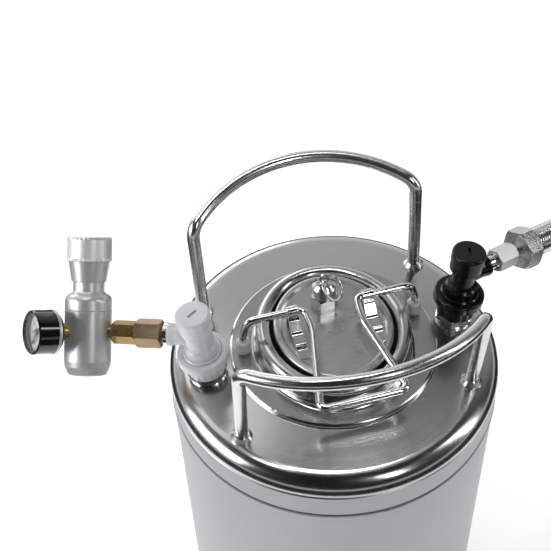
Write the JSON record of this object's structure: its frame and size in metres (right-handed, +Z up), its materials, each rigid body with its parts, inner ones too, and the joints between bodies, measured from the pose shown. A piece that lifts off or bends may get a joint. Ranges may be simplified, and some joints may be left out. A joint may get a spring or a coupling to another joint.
{
  "type": "soda keg",
  "caption": "Small ball lock soda keg with bail-locked oval lid, two bar handles, quick disconnects, mini gas regulator with gauge, and a tap shank.",
  "frame": {"origin": "centre of the stand ring, on the surface that the keg stands on", "axes": "+Z up, +X towards the liquid post, -X towards the gas post, -Y towards the lever of the bail"},
  "size_m": [0.3678, 0.2172, 0.3835],
  "materials": {
    "shell_steel": "satin brushed stainless sheet",
    "dome_steel": "buffed stainless pressing",
    "handle_steel": "polished stainless bar with heat-tinted weld beads",
    "lid_steel": "satin stainless pressing",
    "wire_steel": "polished stainless wire and strip",
    "turned_steel": "turned stainless and nickel plate",
    "tube_steel": "plain stainless",
    "spring_steel": "drawn spring wire",
    "seal_rubber": "black rubber",
    "foot_plastic": "translucent natural plastic",
    "gas_plastic": "light grey moulded plastic",
    "liquid_plastic": "black moulded plastic",
    "regulator_aluminium": "satin turned aluminium",
    "fitting_brass": "machined brass",
    "gauge_black": "gloss black",
    "dial_white": "printed white dial with a coloured arc",
    "gauge_glass": "clear flat window"
  },
  "bodies": {
    "keg": {"shell": "shell_steel", "top_dome": "dome_steel", "bottom_dome": "shell_steel", "base_skirt": "shell_steel", "front_handle": "handle_steel", "rear_handle": "handle_steel", "post_sockets": "turned_steel", "gas_post": "turned_steel", "liquid_post": "turned_steel", "gas_dip_tube": "tube_steel", "liquid_dip_tube": "tube_steel", "post_seals": "seal_rubber", "poppet_springs": "spring_steel"},
    "lid": {"lid": "lid_steel", "lid_gasket": "seal_rubber", "bail_brackets": "wire_steel", "relief_valve_body": "turned_steel", "relief_valve_nut": "turned_steel", "relief_valve_cap": "turned_steel", "relief_valve_spring": "spring_steel"},
    "bail": {"bail_wire": "wire_steel", "bail_feet": "foot_plastic"},
    "relief_stem": {"relief_valve_stem": "turned_steel", "relief_valve_seal": "seal_rubber"},
    "relief_ring": {"relief_valve_ring": "wire_steel"},
    "gas_poppet": {"gas_poppet": "tube_steel"},
    "liquid_poppet": {"liquid_poppet": "tube_steel"},
    "gas_disconnect": {"gas_disconnect_body": "gas_plastic", "gas_disconnect_cap": "gas_plastic", "gas_lock_balls": "tube_steel", "gas_collar_spring": "spring_steel", "gas_pin_spring": "spring_steel", "gas_disconnect_seal": "seal_rubber", "gas_flare_stem": "turned_steel"},
    "gas_collar": {"gas_collar": "gas_plastic"},
    "gas_pin": {"gas_disconnect_pin": "tube_steel"},
    "liquid_disconnect": {"liquid_disconnect_body": "liquid_plastic", "liquid_disconnect_cap": "liquid_plastic", "liquid_lock_balls": "tube_steel", "liquid_collar_spring": "spring_steel", "liquid_pin_spring": "spring_steel", "liquid_disconnect_seal": "seal_rubber", "liquid_flare_stem": "turned_steel"},
    "liquid_collar": {"liquid_collar": "liquid_plastic"},
    "liquid_pin": {"liquid_disconnect_pin": "tube_steel"},
    "gas_nut": {"gas_swivel_nut": "fitting_brass"},
    "regulator": {"regulator_outlet": "fitting_brass", "regulator_body": "regulator_aluminium", "regulator_bonnet": "regulator_aluminium", "regulator_diaphragm": "seal_rubber", "regulator_spring": "spring_steel", "gauge_stem": "fitting_brass", "gauge_case": "gauge_black", "gauge_dial": "dial_white", "gauge_lens": "gauge_glass"},
    "regulator_knob": {"regulator_knob": "regulator_aluminium"},
    "regulator_plate": {"regulator_plate": "regulator_aluminium"},
    "gauge_needle": {"gauge_needle": "gauge_black"},
    "liquid_nut": {"liquid_tail_nut": "turned_steel"},
    "shank": {"tap_shank": "turned_steel"}
  },
  "joints": [
    {"name": "lid_drop", "type": "slide", "parent": "keg", "child": "lid", "axis": [0, 0, -1], "range_m": [0, 0.003]},
    {"name": "bail_swing", "type": "hinge", "parent": "lid", "child": "bail", "pos_m": [0, 0.0075, 0.33], "axis": [-1, 0, 0], "range_deg": [0, 95]},
    {"name": "relief_lift", "type": "slide", "parent": "lid", "child": "relief_stem", "axis": [0, 0, 1], "range_m": [0, 0.003], "stiffness_N_per_m": 1500, "springref_m": -0.004, "deforming": ["relief_valve_spring"]},
    {"name": "relief_ring_swing", "type": "hinge", "parent": "relief_stem", "child": "relief_ring", "pos_m": [0, 0.02, 0.34], "axis": [-0.6157, -0.788, 0], "range_deg": [0, 274]},
    {"name": "gas_disconnect_turn", "type": "hinge", "parent": "keg", "child": "gas_disconnect", "pos_m": [-0.0835, 0, 0.29767], "axis": [-0.0958, 0, 0.9954], "range_deg": [-15, 75]},
    {"name": "gas_collar_lift", "type": "slide", "parent": "gas_disconnect", "child": "gas_collar", "axis": [-0.0958, 0, 0.9954], "range_m": [0, 0.003], "stiffness_N_per_m": 400, "springref_m": -0.005},
    {"name": "gas_valve_pin", "type": "slide", "parent": "gas_disconnect", "child": "gas_pin", "axis": [-0.0958, 0, 0.9954], "range_m": [-0.001, 0.001], "stiffness_N_per_m": 300},
    {"name": "gas_poppet_slide", "type": "slide", "parent": "keg", "child": "gas_poppet", "axis": [-0.0958, 0, 0.9954], "range_m": [-0.001, 0.001]},
    {"name": "liquid_disconnect_turn", "type": "hinge", "parent": "keg", "child": "liquid_disconnect", "pos_m": [0.0835, 0, 0.29767], "axis": [0.0958, 0, 0.9954], "range_deg": [-73, 37]},
    {"name": "liquid_collar_lift", "type": "slide", "parent": "liquid_disconnect", "child": "liquid_collar", "axis": [0.0958, 0, 0.9954], "range_m": [0, 0.003], "stiffness_N_per_m": 400, "springref_m": -0.005},
    {"name": "liquid_valve_pin", "type": "slide", "parent": "liquid_disconnect", "child": "liquid_pin", "axis": [0.0958, 0, 0.9954], "range_m": [-0.001, 0.001], "stiffness_N_per_m": 300},
    {"name": "liquid_poppet_slide", "type": "slide", "parent": "keg", "child": "liquid_poppet", "axis": [0.0958, 0, 0.9954], "range_m": [-0.001, 0.001]},
    {"name": "gas_nut_spin", "type": "hinge", "parent": "gas_disconnect", "child": "gas_nut", "pos_m": [-0.11454, 0.0122, 0.33406], "axis": [-0.9093, 0.4067, -0.0876], "continuous": true},
    {"name": "regulator_roll", "type": "hinge", "parent": "gas_disconnect", "child": "regulator", "pos_m": [-0.152, 0.02896, 0.33045], "axis": [-0.9093, 0.4067, -0.0876], "range_deg": [-130, 130]},
    {"name": "knob_turn", "type": "hinge", "parent": "regulator", "child": "regulator_knob", "pos_m": [-0.152, 0.02896, 0.33045], "axis": [0.2307, 0.6681, 0.7074], "range_deg": [-720, 0]},
    {"name": "plate_slide", "type": "slide", "parent": "regulator", "child": "regulator_plate", "axis": [0.2307, 0.6681, 0.7074], "range_m": [-0.0025, 0]},
    {"name": "needle_swing", "type": "hinge", "parent": "regulator", "child": "gauge_needle", "pos_m": [-0.152, 0.02896, 0.33045], "axis": [0.8734, 0.1783, -0.4533], "range_deg": [0, 270], "stiffness_Nm_per_rad": 0.0002},
    {"name": "liquid_nut_spin", "type": "hinge", "parent": "liquid_disconnect", "child": "liquid_nut", "pos_m": [0.11566, 0.00927, 0.33396], "axis": [0.9467, 0.309, -0.0912], "continuous": true},
    {"name": "shank_turn", "type": "hinge", "parent": "liquid_disconnect", "child": "shank", "pos_m": [0.14406, 0.01854, 0.33122], "axis": [0.9467, 0.309, -0.0912], "continuous": true}
  ],
  "couplings": [
    {"joint": "lid_drop", "follows": "bail_swing", "m_per_rad": 0.0018093},
    {"joint": "gas_poppet_slide", "follows": "gas_valve_pin", "ratio": 1},
    {"joint": "liquid_poppet_slide", "follows": "liquid_valve_pin", "ratio": 1},
    {"joint": "plate_slide", "follows": "knob_turn", "m_per_rad": 0.00019894}
  ]
}
